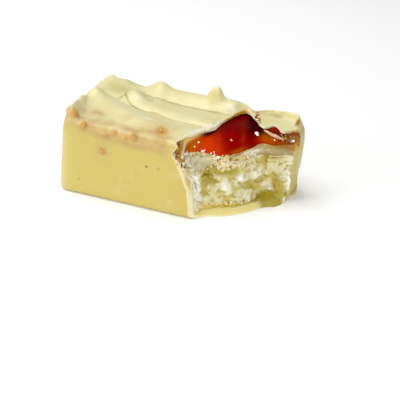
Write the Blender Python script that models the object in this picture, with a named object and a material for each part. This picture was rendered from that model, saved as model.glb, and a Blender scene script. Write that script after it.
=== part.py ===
"""A small cake bar in a pale lemon coating, with one corner bitten off.

Each layer runs the whole length of the bar. From the base up they are the
coating's base, sponge, cream, jam and the coating's roof, whose ridges, rims
and drawn-up tips were left by the coating as it was poured.

+X runs along the bar to the bitten end and +Z is up. The bite takes the corner
at +X and -Y. The origin is on the resting plane under the middle of the whole
bar. All sizes are in metres, and MM turns millimetres into metres.
"""

import math

import bmesh
import bpy
from mathutils import Matrix, Vector

MM = 0.001

# Driving dimensions
LENGTH = 77.5 * MM
WIDTH = 36.0 * MM
BODY_HEIGHT = 28.0 * MM  # to the roof between its ridges
COAT = 1.6 * MM  # thickness of the coating's walls and base
ROOF_COAT = 2.0 * MM  # thickness of its roof between the ridges
SPONGE_TOP = 18.0 * MM
CREAM_TOP = 22.0 * MM
CORNER_RADIUS = 3.4 * MM  # the upright corners
EDGE_RADIUS = 2.2 * MM  # the edges round the base and the roof
GAP = 0.3 * MM  # between solids that touch in the real cake

# Worked out from them
ROOF_UNDERSIDE = BODY_HEIGHT - ROOF_COAT
CAVITY_LENGTH = LENGTH - 2 * COAT
CAVITY_WIDTH = WIDTH - 2 * COAT
CAVITY_RADIUS = CORNER_RADIUS - COAT
LAYER_LENGTH = CAVITY_LENGTH - 2 * GAP
LAYER_WIDTH = CAVITY_WIDTH - 2 * GAP
LAYER_RADIUS = CAVITY_RADIUS - GAP

# How finely the round shapes are divided
CORNER_SEGMENTS = 5
EDGE_SEGMENTS = 4
ROUND_PROFILE = 0.5
TUBE_RESOLUTION = 4  # gives 12 sides
CURVE_STEPS = 24  # between two points of a smoothed line
MERGE_DISTANCE = 0.01 * MM
SMOOTH_ANGLE = math.radians(40)

# The ridges: points on each crest in millimetres (X, Y, height above the roof),
# half the ridge's width, and the upright radius of its section. The two rims
# stand along the left end and round the far right corner.
RIDGES = {
    "front": {
        "crest_mm": [(-36.5, 4.6, 0.2), (-33.0, 3.4, 1.9), (-29.0, 1.8, 2.3), (-24.5, -1.2, 2.0),
                     (-14.0, -6.0, 2.0), (-4.0, -8.8, 1.8), (7.0, -10.0, 1.2)],
        "half_width": 5.0 * MM,
        "depth": 4.0 * MM,
    },
    "middle": {
        "crest_mm": [(-24.6, 8.6, 0.4), (-21.0, 7.9, 2.2), (-17.0, 6.8, 2.5), (-10.0, 4.8, 2.2),
                     (-2.5, 3.2, 2.2), (6.0, 2.6, 2.0), (18.0, 2.8, 1.4)],
        "half_width": 4.8 * MM,
        "depth": 4.0 * MM,
    },
    "back": {
        "crest_mm": [(-36.4, 13.0, 0.2), (-32.5, 13.6, 2.1), (-28.5, 14.0, 2.6), (-21.0, 13.8, 1.6),
                     (-14.5, 14.2, 3.4), (-8.0, 14.0, 2.9), (-1.0, 13.6, 2.3), (6.5, 13.8, 3.0),
                     (13.5, 14.0, 3.3), (19.5, 14.2, 1.6)],
        "half_width": 3.7 * MM,
        "depth": 3.6 * MM,
    },
    "left_rim": {
        "crest_mm": [(-36.6, -14.4, 0.2), (-37.2, -12.6, 1.9), (-37.3, -9.6, 2.1), (-37.2, -6.9, 1.6),
                     (-37.2, -4.4, 1.9), (-37.1, -1.6, 1.2), (-36.8, 2.4, 0.2)],
        "half_width": 1.3 * MM,
        "depth": 2.6 * MM,
    },
    "right_rim": {
        "crest_mm": [(22.6, 16.5, 0.1), (25.5, 16.6, 0.8), (29.0, 16.6, 1.1), (32.6, 16.6, 1.4),
                     (35.4, 16.0, 1.5), (37.0, 13.6, 1.1), (37.2, 10.5, 0.4)],
        "half_width": 1.2 * MM,
        "depth": 2.4 * MM,
    },
}
RIDGE_POINTS = 26  # along each crest, once it is smoothed
RIDGE_END_WIDTH = 0.15  # share of the width that is left at a ridge's ends
RIDGE_FULLNESS = 0.35  # the smaller, the sooner a ridge reaches its full width

# The drawn-up tips: foot, radius of the foot and of the round top, height above
# the roof, and how far the top leans along X.
TIPS = {
    "front_left": {"foot_mm": (-32.8, 3.6), "foot_radius": 5.0 * MM, "tip_radius": 1.9 * MM,
                   "height": 3.9 * MM, "lean": -0.8 * MM},
    "middle_left": {"foot_mm": (-20.8, 7.9), "foot_radius": 5.4 * MM, "tip_radius": 2.6 * MM,
                    "height": 3.7 * MM, "lean": -0.6 * MM},
    "back_left": {"foot_mm": (-31.4, 13.0), "foot_radius": 4.9 * MM, "tip_radius": 1.6 * MM,
                  "height": 4.1 * MM, "lean": -0.8 * MM},
    "back_middle": {"foot_mm": (-14.4, 13.0), "foot_radius": 4.9 * MM, "tip_radius": 2.4 * MM,
                    "height": 5.0 * MM, "lean": -0.3 * MM},
    "back_right": {"foot_mm": (6.8, 13.0), "foot_radius": 4.9 * MM, "tip_radius": 1.3 * MM,
                   "height": 7.7 * MM, "lean": -0.4 * MM},
}
DOME_LEVELS = 5  # rings over each round top
DOME_END = math.radians(80)  # the last ring's latitude

# The bite in plan, in millimetres, from the long side it opens to round to the
# end of the bar. The points are the teeth marks at each level, and each line
# starts and ends clear of the bar.
BITE_BASE_MM = [(9.2, -22.0), (9.9, -18.0), (11.8, -15.6), (14.4, -13.4), (17.6, -11.9),
                (20.8, -10.2), (26.2, -5.2), (30.4, 0.4), (34.2, 2.9), (37.2, 7.2), (44.0, 8.4)]
BITE_FOOT_MM = [(9.0, -22.0), (9.7, -18.0), (11.4, -15.8), (12.2, -12.0), (16.8, -8.4), (21.2, -6.0),
                (25.2, -2.2), (28.2, 2.0), (32.0, 4.6), (36.2, 7.8), (44.0, 9.4)]
BITE_CREAM_MM = [(3.2, -22.0), (3.8, -18.0), (5.6, -16.0), (6.4, -11.8), (10.4, -9.2), (16.8, -9.2),
                 (21.2, -4.8), (24.2, 0.2), (27.0, 4.8), (31.0, 5.4), (35.4, 8.0), (44.0, 10.0)]
BITE_ROOF_MM = [(3.7, -22.0), (3.9, -17.4), (4.3, -12.6), (5.6, -10.2), (9.0, -5.6), (11.8, -1.4),
                (12.8, 4.2), (15.0, 10.0), (18.0, 14.4), (22.2, 11.0), (26.4, 6.4), (29.8, 8.4),
                (34.0, 5.6), (37.6, 9.2), (44.0, 9.6)]
BITE_POINTS = 44  # along each line, once it is smoothed
BITE_HOLLOW = 1.2 * MM  # how much deeper the bite is halfway up the sponge
BITE_CLEAR = 10.0 * MM  # how far the cutter reaches past the bar
FOOT_LEVEL_LOW = COAT + 0.2 * GAP  # the bite steps in between these, above the coating's base
FOOT_LEVEL_HIGH = COAT + 0.8 * GAP
ROOF_LEVEL = ROOF_UNDERSIDE - 0.5 * GAP

COATING_COLOUR = (0.76, 0.64, 0.24)
SPONGE_COLOUR = (0.82, 0.79, 0.62)
CREAM_COLOUR = (0.86, 0.80, 0.62)
JAM_COLOUR = (0.32, 0.01, 0.003)
COATING_ROUGHNESS = 0.35
SPONGE_ROUGHNESS = 0.9
CREAM_ROUGHNESS = 0.5
JAM_ROUGHNESS = 0.1


def clear_scene():
    for obj in list(bpy.data.objects):
        bpy.data.objects.remove(obj, do_unlink=True)


def new_collection(name):
    collection = bpy.data.collections.new(name)
    bpy.context.scene.collection.children.link(collection)
    return collection


def material(name, colour, roughness):
    made = bpy.data.materials.new(name)
    made.use_nodes = True
    shader = made.node_tree.nodes["Principled BSDF"]
    shader.inputs["Base Color"].default_value = (*colour, 1.0)
    shader.inputs["Roughness"].default_value = roughness
    shader.inputs["Metallic"].default_value = 0.0
    return made


def mesh_object(name, bm, collection):
    """An object from a bmesh, which is freed. Its flatter creases are shaded smooth."""
    bmesh.ops.recalc_face_normals(bm, faces=bm.faces)
    mesh = bpy.data.meshes.new(name)
    bm.to_mesh(mesh)
    bm.free()
    mesh.shade_smooth()
    mesh.set_sharp_from_angle(angle=SMOOTH_ANGLE)
    obj = bpy.data.objects.new(name, mesh)
    collection.objects.link(obj)
    return obj


def as_helper(obj):
    obj.hide_render = True
    obj.display_type = "WIRE"
    return obj


def block(name, size, bottom, corner_radius, collection, edge_radius=0.0):
    """A box standing on z = bottom with rounded upright corners.

    With an edge_radius, the edges round its top and bottom are rounded too.
    """
    length, width, height = size
    bm = bmesh.new()
    bmesh.ops.create_cube(bm, size=1.0)
    bmesh.ops.scale(bm, vec=(length, width, height), verts=bm.verts)
    bmesh.ops.translate(bm, vec=(0.0, 0.0, bottom + height / 2), verts=bm.verts)
    upright = [e for e in bm.edges if abs(e.verts[0].co.z - e.verts[1].co.z) > height / 2]
    bmesh.ops.bevel(bm, geom=upright, offset=corner_radius, segments=CORNER_SEGMENTS,
                    profile=ROUND_PROFILE, affect="EDGES")
    if edge_radius:
        level = [e for e in bm.edges if abs(e.verts[0].co.z - e.verts[1].co.z) < height / 2]
        bmesh.ops.bevel(bm, geom=level, offset=edge_radius, segments=EDGE_SEGMENTS,
                        profile=ROUND_PROFILE, affect="EDGES")
    return mesh_object(name, bm, collection)


def smooth_line(points, count):
    """count points evenly along the Catmull-Rom curve through the given ones."""
    ends = [2 * points[0] - points[1], *points, 2 * points[-1] - points[-2]]
    fine = []
    for a, b, c, d in zip(ends, ends[1:], ends[2:], ends[3:]):
        for i in range(CURVE_STEPS):
            t = i / CURVE_STEPS
            fine.append(0.5 * (2 * b + (c - a) * t + (2 * a - 5 * b + 4 * c - d) * t**2
                               + (3 * b - a - 3 * c + d) * t**3))
    fine.append(points[-1].copy())
    reached = [0.0]
    for a, b in zip(fine, fine[1:]):
        reached.append(reached[-1] + (b - a).length)
    line = []
    k = 0
    for i in range(count):
        wanted = reached[-1] * i / (count - 1)
        while k < len(fine) - 2 and reached[k + 1] < wanted:
            k += 1
        share = (wanted - reached[k]) / (reached[k + 1] - reached[k])
        line.append(fine[k].lerp(fine[k + 1], min(share, 1.0)))
    return line


def tapered_tube(name, centres, radii, collection):
    """A closed tube along the centres, whose radius changes from point to point."""
    curve = bpy.data.curves.new(name, "CURVE")
    curve.dimensions = "3D"
    curve.bevel_depth = 1.0
    curve.bevel_resolution = TUBE_RESOLUTION
    curve.use_fill_caps = True
    spline = curve.splines.new("POLY")
    spline.points.add(len(centres) - 1)
    for point, centre, radius in zip(spline.points, centres, radii):
        point.co = (*centre, 1.0)
        point.radius = radius
    drawn = bpy.data.objects.new(name + "_line", curve)
    collection.objects.link(drawn)
    graph = bpy.context.evaluated_depsgraph_get()
    mesh = bpy.data.meshes.new_from_object(drawn.evaluated_get(graph))
    bm = bmesh.new()
    bm.from_mesh(mesh)
    bmesh.ops.remove_doubles(bm, verts=bm.verts, dist=MERGE_DISTANCE)
    bpy.data.objects.remove(drawn, do_unlink=True)
    bpy.data.meshes.remove(mesh)
    return mesh_object(name, bm, collection)


def ridge(name, crest_mm, half_width, depth, collection):
    """A ridge of coating: a flattened tube whose top is the crest, sunk into the roof."""
    route = smooth_line([Vector(point) * MM for point in crest_mm], RIDGE_POINTS)
    last = len(route) - 1
    swell = [max(RIDGE_END_WIDTH, math.sin(math.pi * i / last)) ** RIDGE_FULLNESS
             for i in range(last + 1)]
    flatness = depth / half_width
    centres = [Vector((p.x, p.y, (p.z - depth * s) / flatness)) for p, s in zip(route, swell)]
    made = tapered_tube("ridge_" + name, centres, [half_width * s for s in swell], collection)
    made.data.transform(Matrix.Diagonal((1.0, 1.0, flatness, 1.0)))
    made.location.z = BODY_HEIGHT
    return as_helper(made)


def tip(name, foot_mm, foot_radius, tip_radius, height, lean, collection):
    """A drawn-up tip: a cone from the roof that runs smoothly into a round top."""
    bottom = BODY_HEIGHT - ROOF_COAT / 2
    whole = height + ROOF_COAT / 2
    centre_z = whole - tip_radius
    to_centre = math.hypot(foot_radius, centre_z)
    flank_slope = math.atan2(centre_z, foot_radius) + math.asin(tip_radius / to_centre)
    dome_start = math.pi / 2 - flank_slope
    rings = [(0.0, foot_radius)]
    for i in range(DOME_LEVELS):
        latitude = dome_start + (DOME_END - dome_start) * i / (DOME_LEVELS - 1)
        rings.append((centre_z + tip_radius * math.sin(latitude), tip_radius * math.cos(latitude)))
    foot = Vector((foot_mm[0] * MM, foot_mm[1] * MM, bottom))
    centres = [foot + Vector((0.0, 0.0, z)) for z, _ in rings]
    made = tapered_tube("tip_" + name, centres, [radius for _, radius in rings], collection)
    for vertex in made.data.vertices:
        vertex.co.x += lean * ((vertex.co.z - bottom) / whole) ** 2
    return as_helper(made)


def bite_line(points_mm):
    return smooth_line([Vector((x * MM, y * MM, 0.0)) for x, y in points_mm], BITE_POINTS)


def hollowed(lower, upper, depth):
    """The line halfway between two bite lines, pushed into the bar by depth in its middle."""
    last = len(lower) - 1
    made = []
    for i, (a, b) in enumerate(zip(lower, upper)):
        along = (lower[min(i + 1, last)] - lower[max(i - 1, 0)]).normalized()
        inward = Vector((-along.y, along.x, 0.0))
        made.append(a.lerp(b, 0.5) + inward * depth * math.sin(math.pi * i / last) ** 2)
    return made


def bite_cutter(collection):
    """The bitten-off space: a closed loft through the bite's lines, open sides clear of the bar."""
    base, foot, cream, roof = (bite_line(p) for p in (BITE_BASE_MM, BITE_FOOT_MM,
                                                      BITE_CREAM_MM, BITE_ROOF_MM))
    sections = [
        (-BITE_CLEAR, base),
        (FOOT_LEVEL_LOW, base),
        (FOOT_LEVEL_HIGH, foot),
        (SPONGE_TOP / 2, hollowed(foot, cream, BITE_HOLLOW)),
        (CREAM_TOP, cream),
        (ROOF_LEVEL, roof),
        (BODY_HEIGHT + BITE_CLEAR, roof),
    ]
    far_x = LENGTH / 2 + BITE_CLEAR
    far_y = -WIDTH / 2 - BITE_CLEAR
    bm = bmesh.new()
    rings = []
    for z, line in sections:
        outline = [(p.x, p.y) for p in line]
        outline += [(far_x, line[-1].y), (far_x, far_y), (line[0].x, far_y)]
        rings.append([bm.verts.new((x, y, z)) for x, y in outline])
    for lower, upper in zip(rings, rings[1:]):
        for i, start in enumerate(lower):
            j = (i + 1) % len(lower)
            bm.faces.new((start, lower[j], upper[j], upper[i]))
    bm.faces.new(list(reversed(rings[0])))
    bm.faces.new(rings[-1])
    bmesh.ops.triangulate(bm, faces=bm.faces)
    return as_helper(mesh_object("bite", bm, collection))


def boolean(obj, other, operation):
    made = obj.modifiers.new(operation.lower() + "_" + other.name, "BOOLEAN")
    made.operation = operation
    made.object = other
    made.solver = "EXACT"


def coating(parts, helpers, bite):
    """The whole coat in one piece: block, ridges and tips joined, then hollowed and bitten."""
    coat = block("coating", (LENGTH, WIDTH, BODY_HEIGHT), 0.0, CORNER_RADIUS, parts, EDGE_RADIUS)
    for name, sizes in RIDGES.items():
        boolean(coat, ridge(name, collection=helpers, **sizes), "UNION")
    for name, sizes in TIPS.items():
        boolean(coat, tip(name, collection=helpers, **sizes), "UNION")
    cavity = block("cavity", (CAVITY_LENGTH, CAVITY_WIDTH, ROOF_UNDERSIDE - COAT), COAT,
                   CAVITY_RADIUS, helpers)
    boolean(coat, as_helper(cavity), "DIFFERENCE")
    boolean(coat, bite, "DIFFERENCE")
    coat.data.materials.append(material("lemon_coating", COATING_COLOUR, COATING_ROUGHNESS))


def layer(name, bottom, top, look, parts, bite):
    """A layer inside the coat, from z = bottom to z = top, bitten like the coat."""
    made = block(name, (LAYER_LENGTH, LAYER_WIDTH, top - bottom), bottom, LAYER_RADIUS, parts)
    boolean(made, bite, "DIFFERENCE")
    made.data.materials.append(look)


def build():
    clear_scene()
    parts = new_collection("mini_cake")
    helpers = new_collection("cutters")
    bite = bite_cutter(helpers)
    coating(parts, helpers, bite)
    layer("sponge", COAT + GAP, SPONGE_TOP,
          material("sponge_crumb", SPONGE_COLOUR, SPONGE_ROUGHNESS), parts, bite)
    layer("cream", SPONGE_TOP + GAP, CREAM_TOP,
          material("pale_cream", CREAM_COLOUR, CREAM_ROUGHNESS), parts, bite)
    layer("jam", CREAM_TOP + GAP, ROOF_UNDERSIDE - GAP,
          material("red_jam", JAM_COLOUR, JAM_ROUGHNESS), parts, bite)


build()
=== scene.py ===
"""Looks of the bitten mini cake: the poured coating with its ridges and crisps, the open
crumb, the cream and the jam, each built round the fixed frame.

Shapes are worked out in millimetres, in the frame's axes, and scaled to metres at the end.
"""

import math

import bmesh
import bpy
import numpy as np
from mathutils import Matrix, Vector, kdtree, noise


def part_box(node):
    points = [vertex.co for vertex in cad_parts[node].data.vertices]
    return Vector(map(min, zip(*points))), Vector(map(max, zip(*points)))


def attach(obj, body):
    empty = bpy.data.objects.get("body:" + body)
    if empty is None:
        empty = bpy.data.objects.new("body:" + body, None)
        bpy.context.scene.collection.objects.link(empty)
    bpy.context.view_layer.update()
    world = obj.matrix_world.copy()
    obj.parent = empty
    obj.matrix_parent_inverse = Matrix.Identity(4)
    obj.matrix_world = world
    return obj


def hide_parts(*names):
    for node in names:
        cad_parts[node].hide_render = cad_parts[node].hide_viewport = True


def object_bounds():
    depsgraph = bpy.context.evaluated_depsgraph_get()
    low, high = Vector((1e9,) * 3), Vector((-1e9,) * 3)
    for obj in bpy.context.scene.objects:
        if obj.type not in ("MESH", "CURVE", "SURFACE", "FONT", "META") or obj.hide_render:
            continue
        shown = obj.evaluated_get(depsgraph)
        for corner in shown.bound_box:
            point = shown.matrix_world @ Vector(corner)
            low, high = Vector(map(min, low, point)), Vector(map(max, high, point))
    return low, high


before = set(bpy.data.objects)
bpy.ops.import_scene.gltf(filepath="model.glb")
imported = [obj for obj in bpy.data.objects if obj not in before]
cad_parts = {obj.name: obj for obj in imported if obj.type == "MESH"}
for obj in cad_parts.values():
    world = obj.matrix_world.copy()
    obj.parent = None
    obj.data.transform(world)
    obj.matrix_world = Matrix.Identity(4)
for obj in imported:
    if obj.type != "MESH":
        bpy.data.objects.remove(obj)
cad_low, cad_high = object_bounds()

MM = 0.001

# ---- Sizes, in millimetres. The ones that the frame knows are read from it. ----
LENGTH = (cad_high.x - cad_low.x) / MM
WIDTH = (cad_high.y - cad_low.y) / MM
FRONT = -WIDTH / 2
END = LENGTH / 2
BODY_HEIGHT = 28.0
CREAM_LOW, CREAM_HIGH = (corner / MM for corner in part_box("cream"))
JAM_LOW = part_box("jam")[0] / MM
# Thickness of the coating's walls and floor, and the height of its roof's underside.
COAT = 1.6
ROOF_UNDERSIDE = 26.0
CORNER_RADIUS = 3.4
FOOT_EDGE_RADIUS = 2.2
ROOF_EDGE_RADIUS = 3.2
# Sides of the small even faces that skins are made of.
COAT_VOXEL = 0.42
CHIP_VOXEL = 0.5
FILLING_VOXEL = 0.25
SMEAR_VOXEL = 0.12

# Ridges of the poured coating: how folded the right-hand side is (0 soft, 1 sharp), and crest
# points (x, y, rise above the roof, reach to the right of its run, reach to the left).
RIDGES = (
    (0.15, (
        (-37.0, 4.6, 0.6, 3.0, 3.0), (-34.4, 3.4, 2.2, 5.0, 4.5), (-31.0, 0.8, 1.9, 6.5, 6.5),
        (-26.2, -2.2, 1.7, 6.5, 8.5), (-21.5, -4.8, 1.6, 6.5, 8.5), (-17.1, -6.8, 1.5, 6.5, 8.5),
        (-12.7, -8.2, 1.4, 6.5, 8.5), (-6.0, -9.0, 1.2, 6.5, 8.5), (2.0, -10.0, 0.9, 6.0, 8.0),
        (8.0, -11.0, 0.5, 5.0, 8.0),
    )),
    (0.85, (
        (-20.6, 6.8, 2.4, 3.2, 3.0), (-18.6, 4.8, 2.3, 3.6, 4.0), (-16.4, 3.2, 1.9, 3.6, 6.0),
        (-14.0, 2.4, 1.7, 3.6, 8.0), (-10.4, 3.0, 1.6, 3.6, 9.0), (-7.0, 2.0, 1.5, 3.6, 10.0),
        (-4.7, 1.0, 1.5, 3.6, 10.0), (-1.0, 0.5, 1.4, 3.6, 10.0), (5.0, 0.6, 1.4, 3.6, 10.0),
        (14.0, 0.8, 1.2, 3.4, 9.0), (20.0, 1.0, 1.0, 3.2, 8.0),
    )),
    (0.8, (
        (-37.2, 12.8, 0.4, 4.0, 3.0), (-34.0, 13.8, 2.2, 9.0, 3.4), (-32.0, 14.0, 2.9, 12.0, 3.6),
        (-29.0, 14.0, 3.1, 12.6, 3.6), (-26.0, 14.2, 3.0, 12.2, 3.6), (-23.4, 14.2, 2.2, 9.0, 3.6),
        (-19.5, 14.2, 1.6, 5.6, 3.6), (-16.8, 14.2, 2.3, 5.2, 3.6), (-14.4, 14.2, 3.7, 5.6, 3.6),
        (-11.9, 14.2, 3.7, 5.8, 3.6), (-8.9, 14.2, 3.2, 5.8, 3.6), (-4.7, 14.2, 3.1, 5.8, 3.6),
        (0.0, 14.4, 3.1, 5.8, 3.4), (4.0, 14.2, 3.2, 5.8, 3.6), (8.0, 14.2, 3.6, 5.6, 3.6),
        (12.0, 14.8, 3.5, 6.0, 3.0), (15.4, 15.6, 3.0, 5.0, 2.4), (17.6, 16.0, 2.2, 4.0, 2.0),
        (20.4, 16.2, 0.1, 2.0, 2.0),
    )),
    (0.4, (
        (20.6, 16.4, 0.6, 1.4, 1.6), (25.5, 16.4, 2.2, 1.5, 2.0), (29.0, 16.4, 2.7, 1.6, 2.0),
        (32.6, 16.4, 3.0, 1.8, 2.0), (35.6, 15.8, 3.2, 2.0, 2.2), (36.9, 13.8, 2.7, 1.8, 2.2),
        (37.3, 10.5, 1.2, 1.4, 2.0),
    )),
    (0.2, (
        (-35.2, -16.0, 2.4, 3.4, 1.8), (-36.6, -13.4, 3.7, 4.6, 1.8), (-37.0, -9.6, 3.8, 4.6, 1.8),
        (-37.0, -6.9, 3.0, 4.0, 1.8), (-37.0, -4.4, 3.4, 3.2, 1.8), (-37.0, -1.6, 2.4, 2.8, 1.8),
        (-36.8, 2.4, 0.6, 2.0, 1.6),
    )),
)
# Drawn-up tips: foot x and y, height above the roof, steepness, roundness, and how widely the
# foot spreads. The last two run together into one broad tip.
TIPS = (
    (-34.4, 3.4, 3.0, 0.9, 1.5, 1.3), (-20.6, 6.4, 3.3, 0.8, 2.2, 1.3),
    (-32.4, 14.0, 3.7, 1.1, 0.9, 1.3), (-13.4, 14.2, 4.8, 0.9, 1.8, 1.3),
    (6.1, 13.4, 8.1, 4.9, 2.2, 3.2), (7.6, 13.8, 8.1, 4.9, 2.2, 3.2),
)
# How far round a point its fold is measured.
CREASE_REACH = 0.7
# How far the left end leans in at the top, and how far the right end swells out, at which
# height and how widely.
LEFT_LEAN = 0.7
RIGHT_SWELL = 0.7
RIGHT_SWELL_HEIGHT = 21.0
RIGHT_SWELL_SPREAD = 7.0

# The bite in plan at each level, from the front wall round to the end wall.
BITE_BASE = ((9.2, -22.0), (9.9, -18.0), (11.8, -15.6), (14.4, -13.4), (17.6, -11.9),
             (20.8, -10.2), (26.2, -5.2), (30.4, 0.4), (34.2, 2.9), (37.2, 7.2), (44.0, 8.4))
BITE_FOOT = ((9.0, -22.0), (9.7, -18.0), (11.4, -15.8), (12.2, -12.0), (16.8, -8.4), (21.2, -6.0),
             (25.2, -2.2), (28.2, 2.0), (32.0, 4.6), (36.2, 7.8), (44.0, 9.4))
BITE_CREAM = ((3.2, -22.0), (3.8, -18.0), (5.6, -16.0), (6.4, -11.8), (10.4, -9.2), (16.8, -9.2),
              (21.2, -4.8), (24.2, 0.2), (27.0, 4.8), (31.0, 5.4), (35.4, 8.0), (44.0, 10.0))
BITE_ROOF = ((3.7, -22.0), (3.9, -17.4), (4.3, -12.6), (5.6, -10.2), (9.0, -5.6), (11.8, -1.4),
             (12.8, 4.2), (15.0, 10.0), (18.0, 14.4), (22.2, 11.0), (26.4, 6.4), (29.8, 8.4),
             (34.0, 5.6), (37.6, 9.2), (44.0, 9.6))
# Half-way up: the height, how far the bite is hollowed, and how far its front stands right.
BITE_MIDDLE = 11.0
BITE_HOLLOW = 1.2
BITE_FRONT_SHIFT = 1.9
# Points along the bite, and how far a cutting shape reaches past what it cuts.
BITE_COUNT = 260
OUTSIDE = 10.0
# Points along the roof's broken edge, for what lies beside it and for its shreds.
EDGE_COUNT = 180
SHRED_EDGE_COUNT = 200
# The roof thins out towards the bite, where its underside lies higher than in the frame.
THIN_ROOF_UNDERSIDE = 27.2
# The floor of the coating slopes down to its broken edge, from this height.
LEDGE_LOW = 0.7

# Toasted crisps under the coating: x, y, z, radius, and how much of it shows through.
CRISPS = (
    (-36.4, -13.2, 29.2, 2.5, 0.0), (-36.5, -13.9, 27.3, 2.2, 0.0), (-34.5, -14.9, 29.2, 1.5, 1.2),
    (-37.9, -14.0, 25.6, 1.2, 0.7), (-33.4, -10.4, 27.0, 1.3, 0.3), (-29.6, -17.1, 27.0, 1.3, 1.0),
    (-28.9, -8.8, 27.1, 1.1, 0.5), (-26.9, -8.9, 27.1, 1.1, 0.5), (-22.4, -15.2, 26.9, 1.3, 0.3),
    (-17.2, -9.1, 27.6, 0.9, 0.7), (-18.6, -17.4, 26.7, 1.2, 0.7), (-21.9, -17.5, 25.4, 1.3, 0.4),
    (-14.8, -17.3, 25.9, 1.3, 0.3), (-11.4, -17.4, 26.7, 1.3, 1.0), (-10.3, -12.9, 27.0, 1.1, 0.5),
    (-6.6, -13.2, 27.1, 1.7, 0.25), (-3.6, -12.4, 27.4, 2.0, 1.2), (-1.8, -9.6, 27.0, 1.0, 0.4),
    (-1.4, -16.6, 26.0, 1.5, 0.3), (-22.4, -17.8, 19.1, 1.1, 0.9),
)
# Crisps that show bare: x, y and z. Beyond this x, bare bits are darker.
BARE_CRISPS = ((-29.6, -17.6, 27.8), (-11.4, -17.9, 27.4), (-22.4, -18.3, 19.2),
               (-3.4, -12.8, 28.9))
DARK_CRISPS_FROM = 18.0
# Guessed crisps along the rim at the back and the ends: how far apart, and how far in.
RIM_SPACING = 6.4
RIM_INSET = 1.1
# Lower edge of the toasted band along the front: x, and z.
BAND_EDGE = ((-38.0, 26.2), (-34.3, 27.0), (-29.2, 25.9), (-23.3, 24.7), (-17.9, 24.1),
             (-12.5, 23.8), (-5.3, 24.0), (5.0, 24.2))
# Dark specks on the front face: x, y, z and how dark.
SPECKS = ((-6.4, -18.0, 16.9, 0.9), (-2.1, -18.0, 17.0, 0.4), (-30.6, -18.0, 6.4, 0.35))

# Rounded swells of the jam: share along the bite, share of its slope, half widths, height.
JAM_SWELLS = (
    (0.525, 0.42, 0.075, 0.3, 1.1), (0.4, 0.45, 0.045, 0.3, 0.5), (0.27, 0.5, 0.05, 0.3, 0.4),
    (0.8, 0.62, 0.04, 0.26, 0.9), (0.7, 0.55, 0.03, 0.25, 0.5), (0.885, 0.5, 0.03, 0.25, 0.5),
)

# Places on the bite: the share of the way along it from the front wall (0) to the end wall
# (1), the height, the half width in shares, the half height, and the amount. First where the
# bite goes deeper.
BITE_NOTCH = ((0.07, 24.0, 0.05, 1.4, 1.3),)
SPONGE_HOLLOWS = (
    (0.29, 12.8, 0.034, 2.8, 1.6), (0.44, 14.4, 0.05, 1.8, 0.9), (0.41, 17.2, 0.03, 1.2, 0.8),
    (0.575, 8.3, 0.05, 1.3, 1.0), (0.7, 3.8, 0.09, 1.5, 0.25), (0.77, 8.5, 0.035, 3.0, 0.5),
    (0.168, 11.5, 0.01, 2.6, 0.6), (0.192, 11.5, 0.028, 3.2, -0.6), (0.4, 9.2, 0.035, 2.0, -0.5),
    (0.525, 11.6, 0.028, 1.4, -0.6), (0.65, 11.2, 0.035, 2.2, -0.5), (0.55, 4.2, 0.05, 1.0, -0.4),
    (0.79, 13.6, 0.035, 2.0, -0.3), (0.725, 5.8, 0.02, 0.7, -0.6),
)
# Where the crumb, the cream and the jam are paler, darker or of another colour.
# White crumb on proud lumps, partly painted light.
SPONGE_WHITES = (
    (0.178, 10.5, 0.034, 5.0, 1.4), (0.525, 11.6, 0.03, 1.3, 0.7), (0.4, 9.4, 0.03, 2.2, 0.5),
    (0.65, 11.4, 0.035, 2.0, 0.5), (0.725, 5.8, 0.022, 0.6, 0.8), (0.21, 5.4, 0.03, 1.2, 0.6),
    (0.862, 9.0, 0.016, 7.0, 0.6), (0.56, 4.2, 0.06, 0.8, 0.5),
)
# Mostly painted shade, in the crumb's hollows, under the crumb band and under the cream's lip;
# and the darker olive crumb along its foot.
SPONGE_SHADES_AND_STAINS = (
    (0.7, 3.2, 0.1, 2.0, 1.2), (0.4, 3.2, 0.03, 0.9, 0.8), (0.167, 11.5, 0.01, 2.6, 0.8),
    (0.41, 16.0, 0.1, 2.0, 0.8), (0.78, 8.0, 0.03, 3.5, 0.5), (0.29, 12.8, 0.028, 2.2, 0.5),
    (0.765, 17.4, 0.065, 0.5, 0.9),
)
SPONGE_GOLD = ((0.405, 2.4, 0.055, 0.5, 1.1), (0.215, 2.6, 0.025, 0.5, 0.9),
               (0.3, 2.4, 0.03, 0.4, 0.7))
CREAM_STAINS = (
    (0.5, 21.4, 0.06, 0.7, 1.0), (0.79, 22.0, 0.08, 0.7, 1.0), (0.885, 21.3, 0.055, 1.4, 1.6),
    (0.11, 20.5, 0.05, 2.5, 0.7), (0.74, 18.2, 0.1, 0.5, 1.0),
)
# Painted highlight along the top of the cream's lip.
CREAM_LIP_HIGHLIGHTS = ((0.56, 20.8, 0.07, 0.5, 1.0), (0.63, 20.2, 0.05, 0.7, 1.0))
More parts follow.
